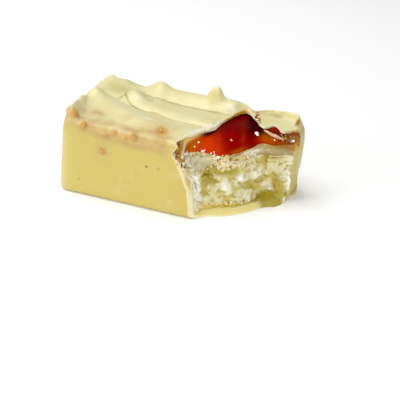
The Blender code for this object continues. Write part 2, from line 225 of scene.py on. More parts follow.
JAM_TINTS = {
    "orange": ((0.29, 24.0, 0.075, 4.0, 1.1), (0.38, 23.0, 0.04, 2.0, 0.4),
               (0.68, 23.5, 0.04, 1.2, 0.5)),
    "amber": ((0.2, 24.0, 0.05, 4.0, 0.9), (0.75, 24.8, 0.035, 2.2, 0.9),
              (0.705, 25.2, 0.028, 2.0, 0.75), (0.5, 22.4, 0.06, 0.5, 0.65),
              (0.86, 22.9, 0.07, 1.0, 1.2)),
    "brown": ((0.86, 25.0, 0.06, 5.0, 1.0),),
    # A painted soft highlight on the jam.
    "bright": ((0.535, 24.6, 0.02, 1.3, 0.4),),
    # Darker where the jam lies deep, and painted shadow under the roof's overhanging edge.
    "deep": ((0.64, 27.0, 0.1, 2.4, 1.5), (0.79, 26.6, 0.03, 0.9, 0.8),
             (0.5, 27.2, 0.2, 0.6, 0.9), (0.27, 27.2, 0.06, 0.5, 1.5)),
    "crumb": ((0.06, 24.0, 0.07, 5.0, 1.6), (0.9, 24.0, 0.035, 3.0, 1.0)),
    "rind": ((0.145, 26.4, 0.022, 1.0, 1.2), (0.18, 26.9, 0.026, 0.7, 1.1),
             (0.215, 27.1, 0.03, 0.4, 0.8)),
    "ivory": ((0.122, 23.6, 0.015, 1.4, 1.1), (0.136, 25.4, 0.012, 1.0, 0.9)),
}
# Stains, and burnt sugar, on the cut edge of the coating.
CUT_STAINS = (
    (0.1, 13.8, 0.013, 3.2, 0.95), (0.126, 19.0, 0.016, 3.5, 0.5), (0.905, 23.5, 0.03, 3.0, 1.0),
    (0.25, 27.2, 0.06, 0.5, 0.6),
)
BURNT_EDGES = ((0.905, 24.4, 0.03, 2.3, 1.2),)

# Places on the roof, each x, y, half widths and the amount: burnt spots; painted highlights on
# lit crests and tips; painted shade on faces turned from the light, and along the right rim.
BURNT_SPOTS = ((36.9, 12.1, 0.6, 1.3, 2.0), (21.7, 15.0, 0.6, 0.8, 1.0))
PAINTED_HIGHLIGHTS = (
    (-9.9, -6.8, 1.8, 0.9, 0.8), (6.6, 13.4, 2.6, 2.6, 0.5), (13.4, 11.6, 1.5, 1.2, 0.8),
    (-33.6, 2.6, 1.6, 1.6, 0.15), (-18.4, 4.4, 2.4, 1.4, 0.4),
)
TOP_SHADES = ((-27.5, 7.5, 5.0, 3.2, 0.9), (-24.5, 14.2, 2.5, 1.4, 0.7))
RIM_SHADES = ((23.8, 15.8, 1.5, 0.4, 1.0), (26.6, 15.9, 1.0, 0.35, 0.6),
              (30.4, 15.8, 1.3, 0.3, 0.6))

# Lumps of cream hanging over the crumb: share, height and radius.
CREAM_LUMPS = (
    (0.185, 18.2, 1.5), (0.215, 17.4, 1.6), (0.245, 17.8, 1.7), (0.275, 17.6, 1.5),
    (0.205, 19.6, 1.5), (0.24, 20.0, 1.5), (0.28, 19.6, 1.6), (0.3, 18.6, 1.3), (0.32, 20.0, 1.2),
    (0.335, 19.0, 0.9), (0.225, 16.0, 1.0), (0.262, 16.2, 0.9),
)
# Areas of bits on the bite: two shares, two heights and a count.
CRISP_AREAS = ((0.077, 0.108, 20.8, 27.4, 100), (0.084, 0.12, 18.0, 22.5, 26),
               (0.835, 0.905, 22.8, 27.2, 68))
# How widely the bits are spread about the middle of an area, as a share of its size, and how
# deep they sink in, as a share of their radius.
THINNING = 0.28
SINK = 0.3
# Heaps of bits: x, y, z, count and spread.
CRISP_HEAPS = (
    (4.2, -15.6, 26.6, 40, (0.35, 0.7, 0.8)), (37.4, 10.6, 26.6, 24, (0.2, 0.6, 0.6)),
    (37.7, 9.6, 24.8, 22, (0.18, 0.5, 1.2)), (22.4, 12.6, 28.1, 9, (0.2, 0.6, 0.15)),
    (23.6, 10.6, 28.0, 8, (0.3, 0.5, 0.15)), (25.0, 8.6, 27.7, 8, (0.35, 0.5, 0.15)),
)
CRUMB_AREAS = (
    (0.33, 0.47, 16.4, 21.8, 100), (0.44, 0.64, 16.4, 18.6, 56), (0.44, 0.6, 18.6, 20.2, 36),
    (0.2, 0.36, 20.8, 21.8, 36), (0.16, 0.32, 2.4, 3.8, 60), (0.32, 0.6, 2.6, 4.0, 44),
)
# Knots of paler crumbs: share, height, count.
CRUMB_KNOTS = (
    (0.285, 22.2, 6), (0.365, 21.6, 12), (0.43, 19.6, 16), (0.47, 17.8, 14), (0.575, 19.2, 14),
    (0.62, 19.8, 10), (0.4, 18.4, 10), (0.52, 18.4, 10), (0.155, 19.0, 10), (0.725, 6.0, 10),
    (0.262, 16.4, 8), (0.142, 20.6, 12), (0.15, 22.4, 6), (0.345, 22.0, 5), (0.12, 22.3, 9),
    (0.108, 20.4, 5), (0.35, 20.6, 8),
)
# The dome of jam under the roof's edge, and the smear of cream over it.
JAM_DOME = ((30.6, 7.0, 25.5), (3.2, 2.3, 2.7))
SMEAR = ((27.4, 5.4, 27.1), (29.2, 5.0, 26.8), (31.2, 4.8, 26.3), (33.0, 5.1, 25.7),
         (34.1, 5.4, 25.3))
SMEAR_RADIUS = 0.62
# Pale flecks on the jam, as painted highlights for its glints: x, y, z and radius, and which way
# they are moved in, in radii.
GLINT_FLECKS = (
    (24.8, 5.9, 25.0, 0.66), (33.3, 6.2, 26.6, 0.32), (18.0, -2.4, 25.1, 0.28),
    (7.6, -10.0, 24.0, 0.26), (8.5, -8.8, 25.3, 0.28), (31.3, 4.7, 24.7, 0.26),
    (37.0, 7.8, 24.2, 0.4), (14.2, -8.6, 22.6, 0.26), (10.4, -9.2, 22.4, 0.3),
)
INTO_JAM = (-0.15, 0.2, -0.05)
# Shreds along the torn roof: how many, and between which shares of its edge.
SHREDS = 60
SHRED_SHARES = (0.2, 0.4)
# The crumb: how thick its torn crust is, how far back it lies, and how many blobs it has.
SPONGE_CRUST = 4.5
SPONGE_SET_BACK = 0.85
SPONGE_BLOBS = 1900
# Rows of points up the jam's slope.
JAM_ROWS = 34
# Pieces broken off the coating of the end wall: lowest and highest corner.
END_CHIPS = (((37.85, 4.0, 3.0), (42.0, 22.0, 11.0)), ((36.6, 2.0, -3.0), (42.0, 13.0, 3.2)))

# How far red, green and blue light spread under a surface, as shares of each material's depth.
SOFT_LIGHT_REACH = (1.0, 0.75, 0.4)

# The camera, fitted to the photograph: its distances are in metres, the photograph's side and
# the focal length in pixels, and the sensor in millimetres.
CAMERA_ELEVATION = math.radians(30.76)
CAMERA_AZIMUTH = math.radians(16.95)
CAMERA_ROLL = math.radians(3.97)
CAMERA_DISTANCE = 532.5 * MM
CAMERA_AIM_OFFSET = (-7.22 * MM, 3.66 * MM)
PHOTO_SIDE = 400
FOCAL_PIXELS = 1520.0
SENSOR = 36.0
# Lights, all aimed at the middle of the base: place and size in metres, and watts.
LIGHTS = {
    "key_light": ((-0.16, -0.04, 0.54), 0.4, 2.1),
    "left_light": ((-0.45, -0.35, 0.25), 0.3, 1.0),
    "front_light": ((0.25, -0.5, 0.3), 0.3, 1.2),
    "glint_light": ((0.12, -0.35, 0.5), 0.012, 0.2),
}
# How far the floor goes each way, in metres.
FLOOR_REACH = 3.0
# Brightness of the studio's walls and ceiling, and how high the walls' full brightness goes.
WALL = 0.55
CEILING = 0.25
WALL_TOP = 0.25

SEED = 7


# ---- Shape tools ----
def ease(low, high, value):
    """0 up to low and 1 from high on, rising smoothly between them."""
    t = np.clip((np.asarray(value, float) - low) / (high - low), 0.0, 1.0)
    return t * t * (3 - 2 * t)


def span(rise, full, fade, gone, value):
    """1 between full and fade, falling smoothly to 0 at rise and gone."""
    return ease(rise, full, value) * (1 - ease(fade, gone, value))


def smooth_max(a, b, soft):
    """The larger of a and b, with the corner between them rounded over a height of soft."""
    h = np.clip(0.5 + 0.5 * (a - b) / soft, 0.0, 1.0)
    return b + (a - b) * h + soft * h * (1 - h)


def smooth_line(points, count):
    """count points evenly along the Catmull-Rom curve through the given ones."""
    p = np.asarray(points, float)
    p = np.vstack([2 * p[0] - p[1], p, 2 * p[-1] - p[-2]])
    t = np.linspace(0, 1, 24, endpoint=False)[:, None]
    fine = [0.5 * (2 * b + (c - a) * t + (2 * a - 5 * b + 4 * c - d) * t**2
                   + (3 * b - a - 3 * c + d) * t**3) for a, b, c, d in zip(p, p[1:], p[2:], p[3:])]
    fine = np.vstack(fine + [p[-2]])
    reached = np.concatenate([[0], np.cumsum(np.linalg.norm(np.diff(fine[:, :2], axis=0), axis=1))])
    wanted = np.linspace(0, reached[-1], count)
    return np.stack([np.interp(wanted, reached, axis) for axis in fine.T], axis=1)


def noise_at(points, size, seed=0.0):
    """Perlin noise, from about -1 to 1, at each point, with features of the given size."""
    shape = np.shape(points)[:-1]
    scaled = np.reshape(points, (-1, 3)) / size + np.array([7.13, 3.71, 5.37]) * seed
    return np.array([noise.noise(p) for p in scaled.tolist()]).reshape(shape)


def new_object(name, data):
    obj = bpy.data.objects.new(name, data)
    bpy.context.scene.collection.objects.link(obj)
    return obj


def new_mesh(name, vertices, faces):
    mesh = bpy.data.meshes.new(name)
    mesh.from_pydata(np.asarray(vertices).tolist(), [], [[int(k) for k in f] for f in faces])
    return new_object(name, mesh)


def from_bmesh(name, bm):
    mesh = bpy.data.meshes.new(name)
    bm.to_mesh(mesh)
    bm.free()
    return new_object(name, mesh)


def read_vectors(collection, key):
    flat = np.empty(len(collection) * 3, np.float32)
    collection.foreach_get(key, flat)
    return flat.reshape(-1, 3).astype(float)


def coordinates(obj):
    return read_vectors(obj.data.vertices, "co")


def set_coordinates(obj, points):
    obj.data.vertices.foreach_set("co", np.asarray(points, np.float32).ravel())
    obj.data.update()


def vertex_normals(obj):
    return read_vectors(obj.data.vertex_normals, "vector")


def push_out(obj, points, amount):
    """Puts an object's points at the given ones, moved out by an amount for each."""
    set_coordinates(obj, points + vertex_normals(obj) * amount[:, None])


def apply_modifiers(obj):
    graph = bpy.context.evaluated_depsgraph_get()
    mesh = bpy.data.meshes.new_from_object(obj.evaluated_get(graph))
    old = obj.data
    obj.modifiers.clear()
    obj.data = mesh
    bpy.data.meshes.remove(old)
    return obj


def remove(obj):
    mesh = obj.data
    bpy.data.objects.remove(obj)
    bpy.data.meshes.remove(mesh)


def joined(name, objects):
    """One object with the others' meshes side by side."""
    bm = bmesh.new()
    for obj in objects:
        bm.from_mesh(obj.data)
        remove(obj)
    return from_bmesh(name, bm)


def voxel_union(obj, size, smoothing=0):
    """Overlapping closed meshes turned into one skin of even quads, then smoothed."""
    remesh = obj.modifiers.new("skin", "REMESH")
    remesh.mode = "VOXEL"
    remesh.voxel_size = size
    if smoothing:
        relax = obj.modifiers.new("relax", "SMOOTH")
        relax.factor = 0.5
        relax.iterations = smoothing
    return apply_modifiers(obj)


def boolean(obj, other, operation="DIFFERENCE"):
    cut = obj.modifiers.new(operation, "BOOLEAN")
    cut.operation = operation
    cut.object = other
    cut.solver = "MANIFOLD"
    apply_modifiers(obj)
    remove(other)
    return obj


def rounded_block(name, size, bottom, corner_radius, foot_radius=0.0, roof_radius=0.0, segments=8):
    """A box with rounded upright corners, and rounded edges round its foot and its roof."""
    height = size[2]
    bm = bmesh.new()
    bmesh.ops.create_cube(bm, size=1.0)
    bmesh.ops.scale(bm, vec=size, verts=bm.verts)
    bmesh.ops.translate(bm, vec=(0.0, 0.0, bottom + height / 2), verts=bm.verts)

    def round_off(edges, radius):
        bmesh.ops.bevel(bm, geom=edges, offset=radius, segments=segments, profile=0.5,
                        affect="EDGES")

    round_off([e for e in bm.edges if abs(e.verts[0].co.z - e.verts[1].co.z) > height / 2],
              corner_radius)
    for level, radius in ((bottom, foot_radius), (bottom + height, roof_radius)):
        if radius:
            round_off([e for e in bm.edges if all(abs(v.co.z - level) < 0.001 for v in e.verts)],
                      radius)
    bmesh.ops.recalc_face_normals(bm, faces=bm.faces)
    return from_bmesh(name, bm)


def lumps(name, places, unevenness=0.25, detail=2, turned=False):
    """Uneven rounded bits, each given by its centre, radius and flattening (x, y, z)."""
    bm = bmesh.new()
    bmesh.ops.create_icosphere(bm, subdivisions=detail, radius=1.0)
    ball = np.array([v.co for v in bm.verts])
    faces = np.array([[v.index for v in f.verts] for f in bm.faces])
    bm.free()
    count = len(places)
    centres, radii, flattenings = (np.array(part)[:, None] for part in zip(*places))
    number = np.arange(count)[:, None, None]
    swell = 1 + unevenness * noise_at(ball + number * 3.3, 0.9)
    shapes = ball * swell[..., None] * radii[..., None] * flattenings
    if turned:
        turns, _ = np.linalg.qr(np.random.default_rng(SEED).normal(size=(count, 3, 3)))
        shapes = shapes @ (turns * np.linalg.det(turns)[:, None, None])
    return new_mesh(name, (centres + shapes).reshape(-1, 3),
                    (faces + number * len(ball)).reshape(-1, 3).tolist())


def set_tones(obj, count, plain=0, darker_from=END):
    """Gives each of the count bits in a mesh of lumps its own tone, from 0 to 1."""
    tones = np.random.default_rng(SEED + count).uniform(0, 1, count)
    tones[:plain] = 0.0
    each = coordinates(obj).reshape(count, -1, 3)[:, 0, 0]
    tones = np.where(each > darker_from, 0.4 + 0.6 * tones, tones)
    set_attributes(obj, tone=np.repeat(tones, len(obj.data.vertices) // count))
    return obj


def grid_faces(rows, columns, start=0, closed=False, flipped=False):
    faces = []
    for k in range(start, start + (rows - 1) * columns, columns):
        for i in range(columns if closed else columns - 1):
            j = (i + 1) % columns
            face = (k + i, k + j, k + columns + j, k + columns + i)
            faces.append(face[::-1] if flipped else face)
    return faces


def set_attributes(obj, **shares):
    """Gives each point of the mesh a number from 0 to 1 under each name."""
    for name, values in shares.items():
        layer = obj.data.attributes.new(name, "FLOAT", "POINT")
        layer.data.foreach_set("value", np.clip(values, 0.0, 1.0).astype(np.float32))


def into_scene(obj, look, angle, replaces):
    """Smooths a finished piece, scales it to metres and fixes it to the cake."""
    obj.data.shade_smooth()
    obj.data.set_sharp_from_angle(angle=math.radians(angle))
    obj.data.transform(Matrix.Scale(MM, 4))
    obj.data.materials.clear()
    obj.data.materials.append(look)
    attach(obj, "root")
    if replaces:
        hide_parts(*replaces)


# ---- The bite ----
def bite_middle(foot, cream):
    """The bite half-way up: hollow in the middle, and further out along the front wall."""
    line = (foot + cream) / 2
    along = np.gradient(line, axis=0)
    along /= np.linalg.norm(along, axis=1)[:, None]
    inward = np.stack([-along[:, 1], along[:, 0]], axis=1)
    share = np.linspace(0, 1, len(line))
    line += inward * (BITE_HOLLOW * np.sin(np.pi * share) ** 2)[:, None]
    line[:, 0] += BITE_FRONT_SHIFT * (1 - ease(0.12, 0.30, share))
    return line


def bite_grid(levels):
    """Points of the bitten surface: one row at each level."""
    base, foot, cream, roof = (smooth_line(p, BITE_COUNT)
                               for p in (BITE_BASE, BITE_FOOT, BITE_CREAM, BITE_ROOF))
    known = ((-OUTSIDE, base), (LEDGE_LOW, base), (COAT + 0.3, foot),
             (BITE_MIDDLE, bite_middle(foot, cream)), (CREAM_HIGH.z, cream),
             (ROOF_UNDERSIDE, roof), (BODY_HEIGHT + OUTSIDE, roof))
    rows = []
    for z in levels:
        k = min(max(sum(height < z for height, _ in known) - 1, 0), len(known) - 2)
        (low, below), (high, above) = known[k:k + 2]
        share = (z - low) / (high - low)
        rows.append(np.column_stack([below * (1 - share) + above * share,
                                     np.full(BITE_COUNT, z)]))
    return np.array(rows)


def grid_normals(grid):
    """Unit normals of a bite grid, pointing into the cake."""
    normal = np.cross(np.gradient(grid, axis=0), np.gradient(grid, axis=1))
    return normal / np.linalg.norm(normal, axis=2)[:, :, None]


def bite_cutter(name, grid):
    """The space that was bitten off, closed well outside the cake."""
    far_x, far_y = END + OUTSIDE, FRONT - OUTSIDE
    rings = []
    for row in grid:
        z = row[:, 2].mean()
        far = [(far_x, row[-1, 1], z), (far_x, far_y, z), (row[0, 0], far_y, z)]
        rings.append(np.vstack([row, far]))
    count = len(rings[0])
    faces = grid_faces(len(rings), count, closed=True, flipped=True)
    faces.append(tuple(range(count)))
    faces.append(tuple(reversed(range((len(rings) - 1) * count, len(rings) * count))))
    return new_mesh(name, np.vstack(rings), faces)


def patches(places, across, up):
    """Sum of soft spots at points given by share and height on the bite, or x and y on top."""
    total = np.zeros(np.shape(across))
    for spot_across, spot_up, half_across, half_up, amount in places:
        total += amount * np.exp(-((across - spot_across) / half_across) ** 2
                                 - ((up - spot_up) / half_up) ** 2)
    return total


def grid_places(grid):
    """Share along the bite, and height, of each point in a bite grid."""
    share = np.broadcast_to(np.linspace(0, 1, grid.shape[1]), grid.shape[:2])
    return share, grid[..., 2]


def locate(points, grid):
    """Depth behind a bite surface, distance from it, and share along it, of each point."""
    places, normals = grid.reshape(-1, 3), grid_normals(grid).reshape(-1, 3)
    tree = kdtree.KDTree(len(places))
    for k, place in enumerate(places.tolist()):
        tree.insert(place, k)
    tree.balance()
    found = [tree.find(p) for p in points.tolist()]
    index = np.array([k for _, k, _ in found])
    away = np.array([d for _, _, d in found])
    depth = np.einsum("ij,ij->i", points - places[index], normals[index])
    return depth, away, grid_places(grid)[0].ravel()[index]


def from_roof_edge(x, y):
    """Distance in plan from the roof's broken edge, and the share along it."""
    line = smooth_line(BITE_ROOF, EDGE_COUNT)
    away = np.hypot(x[..., None] - line[:, 0], y[..., None] - line[:, 1])
    nearest = away.argmin(axis=-1)
    return np.take_along_axis(away, nearest[..., None], -1)[..., 0], nearest / (len(line) - 1)


# ---- Coating ----
def ridge_height(x, y, sharp, crest):
    """Height of one ridge: folded to the right of its run, and broad to its left."""
    line = smooth_line(crest, 70)
    nearest, found = np.full(x.shape, 1e9), np.zeros((4, *x.shape))
    for a, b in zip(line, line[1:]):
        step = b - a
        t = np.clip(((x - a[0]) * step[0] + (y - a[1]) * step[1]) / (step[:2] @ step[:2]), 0, 1)
        dx, dy = x - a[0] - t * step[0], y - a[1] - t * step[1]
        distance = np.hypot(dx, dy)
        side = step[0] * dy - step[1] * dx
        here = (side, *(a[k] + t * step[k] for k in (2, 3, 4)))
        found = np.where(distance < nearest, here, found)
        nearest = np.minimum(nearest, distance)
    side, rise, right, left = found
    steep, broad = np.clip(nearest / right, 0, 1), np.clip(nearest / left, 0, 1)
    folded = (1 - steep**2) ** 0.65
    soft = 0.5 + 0.5 * np.cos(np.pi * steep)
    return rise * np.where(side > 0, 0.5 + 0.5 * np.cos(np.pi * broad),
                           sharp * folded + (1 - sharp) * soft)


def roof_rise(x, y, tips=TIPS):
    """Height of the poured roof over its flat level."""
    height = np.zeros(x.shape)
    for ridge in RIDGES:
        height = smooth_max(height, ridge_height(x, y, *ridge), 0.30)
    for foot_x, foot_y, top, steepness, roundness, spread in tips:
        r = np.hypot(x - foot_x, y - foot_y)
        cone = top - steepness * (np.sqrt(r**2 + roundness**2) - roundness)
        height = smooth_max(height, cone, spread)
    away, _ = from_roof_edge(x, y)
    slope = 0.5 + 0.8 * ease(8.0, 14.0, y)
    return -smooth_max(-height, -(0.1 + slope * away), 0.4)


def crease_depth(x, y):
    """How sharply the poured roof is folded in beside its ridges at a point, from 0 to 1."""
    reach = CREASE_REACH
    around = sum(roof_rise(x + right, y + back, ())
                 for right, back in ((reach, 0), (-reach, 0), (0, reach), (0, -reach)))
    return ease(0.25, 1.3, (around - 4 * roof_rise(x, y, ())) / reach**2)


def rim_crisps():
    """Crisps along the rim at the back and the two ends."""
    rng = np.random.default_rng(SEED)
    back = [(x, WIDTH / 2 - RIM_INSET) for x in np.arange(-END + 4, END - 3, RIM_SPACING)]
    ends = [(-END + RIM_INSET, y) for y in np.arange(FRONT + 5, WIDTH / 2 - 3, RIM_SPACING)]
    ends += [(END - RIM_INSET, y) for y in np.arange(13.0, WIDTH / 2 - 1, RIM_SPACING)]
    found = []
    for x, y in back + ends:
        shift = rng.uniform(-2.4, 2.4, 2) * ((1, 0.15) if (x, y) in back else (0.15, 0.6))
        found.append((x + shift[0], y + shift[1], 26.7 - rng.exponential(1.3),
                      rng.uniform(0.8, 1.5), rng.uniform(0.15, 0.7)))
    return found


def broken_piece(low, high):
    """A box with uneven faces, as a broken-off piece leaves."""
    low, high = np.array(low), np.array(high)
    middle = (low + high) / 2
    piece = rounded_block("chip", tuple(high - low), low[2], 0.5, 0.5, 0.5, segments=2)
    voxel_union(piece, CHIP_VOXEL)
    points = coordinates(piece) + (middle[0], middle[1], 0.0)
    push_out(piece, points, 0.5 * (noise_at(points, 2.4, 41) + 0.5 * noise_at(points, 0.9, 42)))
    return piece


def settled(points):
    """Moves points with the leaning left end and the swollen right end."""
    points = np.array(points, float)
    x, z = points[..., 0], points[..., 2]
    left = ease(-END + 12.0, -END, x)
    right = ease(END - 6.0, END, x)
    swell = np.exp(-((z - RIGHT_SWELL_HEIGHT) / RIGHT_SWELL_SPREAD) ** 2)
    points[..., 0] += LEFT_LEAN * left * z / BODY_HEIGHT + RIGHT_SWELL * right * swell
    return points


def settle(obj):
    """Moves an object's points in the same way."""
    set_coordinates(obj, settled(coordinates(obj)))
    return obj


def make_coating():
    crisps = list(CRISPS) + rim_crisps()
    skin = rounded_block("coating_skin", (LENGTH, WIDTH, BODY_HEIGHT), 0.0, CORNER_RADIUS,
                         FOOT_EDGE_RADIUS, ROOF_EDGE_RADIUS)
    voxel_union(skin, COAT_VOXEL, smoothing=2)
    points = coordinates(skin)
    lifted = ease(BODY_HEIGHT - ROOF_EDGE_RADIUS, BODY_HEIGHT - 0.1, points[:, 2])
    points[:, 2] += roof_rise(points[:, 0], points[:, 1]) * lifted
    set_coordinates(skin, points)
    under_skin = [((x, y, z), radius, (1, 1, 0.8)) for x, y, z, radius, _ in crisps]
    skin = joined("coating_shell", [skin, lumps("skin_lumps", under_skin)])
    voxel_union(skin, COAT_VOXEL, smoothing=3)

    points = coordinates(settle(skin))
    uneven = -0.10 + 0.14 * noise_at(points, 11.0, 1) + 0.05 * noise_at(points, 3.0, 2)
    uneven += 0.06 * noise_at(points * (0.25, 1, 1), 1.4, 5) * on_top(skin)
    uneven += 0.40 * noise_at(points, 0.9, 6) * torn_zone(points)
    push_out(skin, points, uneven * ease(0.0, 3.0, points[:, 2]))

    size = (LENGTH - 2 * COAT, WIDTH - 2 * COAT, THIN_ROOF_UNDERSIDE - COAT)
    cavity = rounded_block("cavity", size, COAT, CORNER_RADIUS - COAT, roof_radius=1.0)
    boolean(skin, settle(cavity))
    levels = np.concatenate([[-OUTSIDE, -2, 0.0, LEDGE_LOW / 2],
                             np.arange(LEDGE_LOW, COAT + 0.2, 0.2),
                             np.arange(COAT + 0.4, 34, 0.35), [BODY_HEIGHT + OUTSIDE]])
    grid = bite_grid(levels)
    ragged = 0.12 * noise_at(grid, 2.6, 3) + 0.08 * noise_at(grid, 0.9, 4)
    ragged *= 0.6 + 1.6 * ease(24.0, 26.5, grid[..., 2])
    ragged += patches(BITE_NOTCH, *grid_places(grid))
    grid = grid + grid_normals(grid) * ragged[..., None]
    boolean(skin, bite_cutter("coating_bite", grid))
    for low, high in END_CHIPS:
        boolean(skin, broken_piece(low, high))
    paint_coating(skin, grid, crisps)
    return skin


def on_top(skin):
    """Where the skin faces up on the roof, from 0 to 1."""
    return (ease(26.0, 28.2, coordinates(skin)[:, 2])
            * ease(0.1, 0.7, vertex_normals(skin)[:, 2]))


def torn_zone(points):
    """Where the roof beside its broken edge is torn and white."""
    away, share = from_roof_edge(points[:, 0], points[:, 1])
    along = span(0.13, 0.20, 0.30, 0.40, share)
    return along * (1 - ease(1.2, 3.2, away)) * ease(27.4, 27.8, points[:, 2])


def paint_coating(skin, grid, crisps):
    """Marks where the coating is browned, torn or cut, and its painted light and shade."""
    points = coordinates(skin)
    x, y, z = points.T
    _, away, share = locate(points, grid)
    halo, core, speck = np.zeros((3, len(points)))
    for *place, radius, shown in crisps:
        distance = np.linalg.norm(points - settled(place), axis=1) / radius
        core = np.maximum(core, shown * np.exp(-(distance / 1.2) ** 4))
        halo = np.maximum(halo, (0.5 + 0.4 * shown) * np.exp(-(distance / 2.1) ** 2))
    for *place, dark in SPECKS:
        distance = np.linalg.norm(points - place, axis=1)
        speck = np.maximum(speck, dark * np.exp(-(distance / 0.55) ** 4))
    edge = np.interp(x, *np.array(BAND_EDGE).T)
    band = ease(edge - 2.8, edge + 1.8, z) * ease(-10.5, -15.5, y)
    band *= (0.75 + 0.5 * noise_at(points, 3.2, 51)) * (1 - ease(-2.0, 5.0, x))
    # Painted shade: a soft darker band along the lower edge of the toasted band.
    under = np.exp(-((z - edge) / 1.3) ** 2) * ease(-16.5, -17.4, y)
    under *= (0.75 + 0.4 * noise_at(points, 4.5, 52)) * (1 - ease(-2.0, 4.0, x))
    # Painted light: the left end of the front face is made lighter, as if lit from the left.
    corner = ease(-33.0, -37.5, x) * ease(-16.5, -17.5, y)
    corner *= 1 - ease(20.0, 25.0, z)
    up = on_top(skin)
    # Painted shade in the folds beside the ridges, and along the right rim.
    crease = crease_depth(x, y) * up * (0.7 + 0.6 * noise_at(points, 5.0, 53))
    crease *= span(-33.5, -30.5, 29.0, 32.0, x)
    # Painted light: the coating's floor at the foot of the bite lies in the cake's shade and takes
    # the
    # pale colour of the broken edges, and a paler yellow of its own.
    ledge = (z > 0.3) & (z < 2.2) & (vertex_normals(skin)[:, 2] > 0.3)
    cut = np.maximum(1 - ease(0.10, 0.45, away), ledge)
    rim = span(0.40, 0.43, 0.54, 0.57, share) * ease(25.0, 26.5, z)
    set_attributes(
        skin, halo=np.maximum(halo, band), under=under, core=core, speck=speck, top=up,
        torn=torn_zone(points), cut=cut, shadow=up * patches(TOP_SHADES, x, y),
        # light: painted highlights on the roof, and painted light at the front face's left corner.
        light=up * patches(PAINTED_HIGHLIGHTS, x, y) + 0.15 * corner,
        crease=np.maximum(crease, up * patches(RIM_SHADES, x, y)),
        ledge=ledge * (share > 0.1) * (share < 0.62),
        burnt=np.maximum(cut * patches(BURNT_EDGES, share, z), up * patches(BURNT_SPOTS, x, y)),
        # Painted shade: the broken end wall is a darker olive.
        end_cut=cut * ease(0.82, 0.86, share) * (z > 2.5),
        amber=cut * (rim + patches(CUT_STAINS, share, z)),
        # Painted shade: the right part of the coating's floor at the bite is olive.
        stain=cut * span(0.60, 0.67, 0.80, 0.84, share) * (z < 2.5))


# ---- Fillings ----
def layer_block(name, bottom, top, foot_radius=0.0, roof_radius=0.0):
    """A block that fills the coating from wall to wall, between two heights."""
    size = (LENGTH - 2 * COAT + 0.2, WIDTH - 2 * COAT + 0.2, top - bottom)
    return settle(rounded_block(name, size, bottom, CORNER_RADIUS - COAT, foot_radius,
                                roof_radius))


def filling_grid(bottom, top, step):
    """The bite surface over one layer, carried straight down and up past it."""
    grid = bite_grid([bottom - 0.05, *np.arange(bottom + step, top + 1.0, step)])
    below, above = grid[:1].copy(), grid[-1:].copy()
    below[..., 2] -= OUTSIDE
    above[..., 2] += OUTSIDE
    return np.concatenate([below, grid, above])


def closed_between(name, front, back):
    """A closed slab between two grids of points of the same size."""
    rows, columns = front.shape[:2]
    count = rows * columns
    faces = grid_faces(rows, columns) + grid_faces(rows, columns, count, flipped=True)
    index = np.arange(count).reshape(rows, columns)
    edge = [*index[0], *index[1:, -1], *index[-1, -2::-1], *index[-2:0:-1, 0], 0]
    faces += [(b, a, a + count, b + count) for a, b in zip(edge, edge[1:])]
    return new_mesh(name, np.vstack([front.reshape(-1, 3), back.reshape(-1, 3)]), faces)


def bite_slice(block, bottom, top, depth):
    """A block cut back to the bite, and by a further depth."""
    grid = filling_grid(bottom, top, 1.0)[:, ::4]
    grid[..., :2] += grid_normals(grid)[..., :2] * depth
    return boolean(block, bite_cutter("slice", grid))


def make_sponge():
    bottom, top = COAT + 0.2, CREAM_LOW.z
    grid = filling_grid(bottom, top, 0.4)[1:-1]
    normals = grid_normals(grid)
    hollow = patches(SPONGE_HOLLOWS, *grid_places(grid))
    hollow -= 0.55 * noise_at(grid, 4.5, 11) + 0.35 * noise_at(grid, 2.2, 12)
    front = grid + normals * (SPONGE_SET_BACK + hollow)[..., None]
    slab = closed_between("sponge_slab", front, grid + normals * SPONGE_CRUST)

    rng = np.random.default_rng(SEED + 1)
    blobs = []
    rows, columns = grid.shape[:2]
    for _ in range(SPONGE_BLOBS):
        i, j = rng.integers(0, rows), rng.integers(0, columns)
        radius = 0.35 + 0.95 * rng.uniform() ** 2
        depth = hollow[i, j] + 0.75 * radius + rng.exponential(0.20)
        blobs.append((grid[i, j] + normals[i, j] * depth, radius, rng.uniform(0.7, 1.25, 3)))
    crust = joined("sponge_crumb", [slab, lumps("sponge_blobs", blobs, 0.5)])
    voxel_union(crust, FILLING_VOXEL)
    boolean(crust, layer_block("crust_limit", COAT - 0.1, top, 1.0, 1.0), "INTERSECT")
    core = layer_block("sponge_core", COAT - 0.1, top, 1.0, 1.0)
    boolean(crust, bite_slice(core, bottom, top, SPONGE_CRUST - 1.1), "UNION")

    points = coordinates(crust)
    depth, _, share = locate(points, grid)
    z = points[:, 2]
    relief = depth - 0.45
    near = ease(3.4, 2.8, depth - patches(SPONGE_HOLLOWS, share, z))
    # white: listed patches of white crumb on proud lumps, and painted light on the crumb's proud
    # bits.
    white = patches(SPONGE_WHITES, share, z) + 0.35 * near * ease(-0.1, -0.6, relief)
    # hollow: painted shade in the crumb's hollows, darker the deeper they lie.
    set_attributes(crust, hollow=near * (0.30 + 0.42 * relief),
                   # foot: darker patches of the crumb, mostly painted shade, with the olive crumb
                   # along its foot.
                   white=white * ease(2.2, 3.4, z), foot=patches(SPONGE_SHADES_AND_STAINS, share, z),
                   gold=patches(SPONGE_GOLD, share, z))
    return crust


